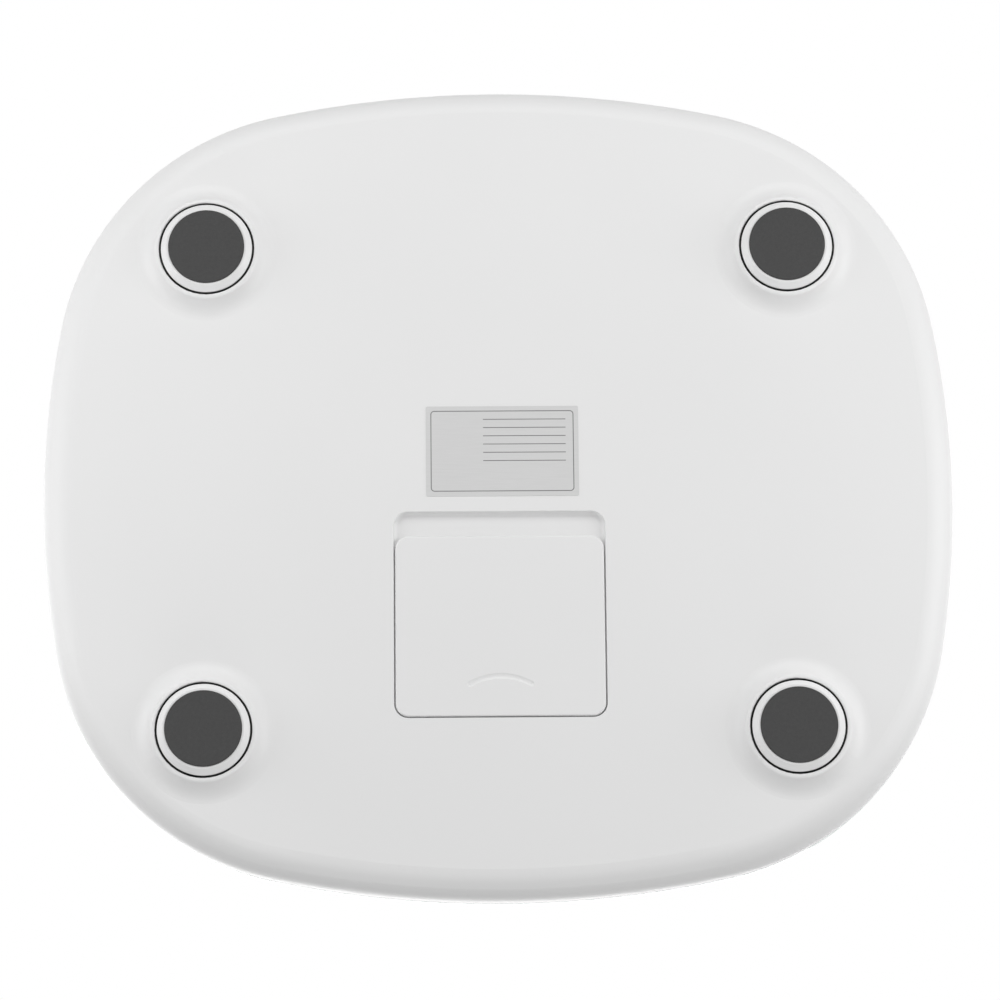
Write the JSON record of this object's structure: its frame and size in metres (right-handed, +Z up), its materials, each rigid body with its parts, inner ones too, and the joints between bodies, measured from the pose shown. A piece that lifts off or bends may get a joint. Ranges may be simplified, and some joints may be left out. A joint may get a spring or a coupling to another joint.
{
  "type": "digital bathroom scale",
  "caption": "Low rounded digital bathroom scale: glass platform on a white plastic tray, round feet on load cells, battery door with thumb groove and a display at the far end.",
  "frame": {"origin": "centre of the outline on the floor, at the underside of the foot pads", "axes": "+Z up with the feet down, +Y towards the display end, +X to the right of a person who faces the display"},
  "size_m": [0.32, 0.293, 0.0272],
  "materials": {
    "shell_white": "fine satin moulded plastic",
    "door_white": "fine satin moulded plastic",
    "glass_white": "clear glass painted white underneath",
    "foam_white": "closed foam tape",
    "foam_black": "closed foam",
    "cap_white": "satin moulded plastic",
    "pad_grey": "matte grey rubber",
    "cell_steel": "stamped steel",
    "holder_white": "moulded plastic",
    "cable_grey": "soft cable sheath",
    "gauge_film": "amber film",
    "screw_steel": "zinc plated",
    "battery_case": "plain wrapped case",
    "contact_nickel": "nickel plated",
    "lead_red": "wire sheath",
    "lead_black": "wire sheath",
    "board_green": "solder mask",
    "chip_black": "moulded resin",
    "connector_white": "moulded plastic",
    "display_grey": "moulded reflector block",
    "film_dark": "smoked filter film",
    "label_grey": "silver grey sticker, blank"
  },
  "bodies": {
    "housing": {"base_shell": "shell_white", "battery_1": "battery_case", "battery_2": "battery_case", "battery_3": "battery_case", "battery_4": "battery_case", "battery_lead_minus": "lead_black", "battery_lead_plus": "lead_red", "board_screws": "screw_steel", "cell_cable_back_left": "cable_grey", "cell_cable_back_right": "cable_grey", "cell_cable_front_left": "cable_grey", "cell_cable_front_right": "cable_grey", "cell_holder_back_left": "holder_white", "cell_holder_back_right": "holder_white", "cell_holder_front_left": "holder_white", "cell_holder_front_right": "holder_white", "contact_plates": "contact_nickel", "contact_springs": "contact_nickel", "controller_chip": "chip_black", "display_film": "film_dark", "display_seal": "foam_black", "holder_screws": "screw_steel", "led_display": "display_grey", "load_cell_back_left": "cell_steel", "load_cell_back_right": "cell_steel", "load_cell_front_left": "cell_steel", "load_cell_front_right": "cell_steel", "main_board": "board_green", "platform_glass": "glass_white", "rating_label": "label_grey", "rim_bond": "foam_white", "strain_gauges": "gauge_film", "support_pads": "foam_white", "wire_connectors": "connector_white"},
    "battery_door": {"battery_door": "door_white"},
    "foot_front_left": {"foot_cap_front_left": "cap_white", "foot_pad_front_left": "pad_grey"},
    "foot_back_left": {"foot_cap_back_left": "cap_white", "foot_pad_back_left": "pad_grey"},
    "foot_front_right": {"foot_cap_front_right": "cap_white", "foot_pad_front_right": "pad_grey"},
    "foot_back_right": {"foot_cap_back_right": "cap_white", "foot_pad_back_right": "pad_grey"}
  },
  "joints": [
    {"name": "battery_door_slide", "type": "slide", "parent": "housing", "child": "battery_door", "axis": [0, 1, 0], "range_m": [0, 0.0064]},
    {"name": "foot_front_left_press", "type": "slide", "parent": "housing", "child": "foot_front_left", "axis": [0, 0, 1], "range_m": [0, 0.0006], "deforming": ["load_cell_front_left"]},
    {"name": "foot_back_left_press", "type": "slide", "parent": "housing", "child": "foot_back_left", "axis": [0, 0, 1], "range_m": [0, 0.0006], "deforming": ["load_cell_back_left"]},
    {"name": "foot_front_right_press", "type": "slide", "parent": "housing", "child": "foot_front_right", "axis": [0, 0, 1], "range_m": [0, 0.0006], "deforming": ["load_cell_front_right"]},
    {"name": "foot_back_right_press", "type": "slide", "parent": "housing", "child": "foot_back_right", "axis": [0, 0, 1], "range_m": [0, 0.0006], "deforming": ["load_cell_back_right"]}
  ]
}
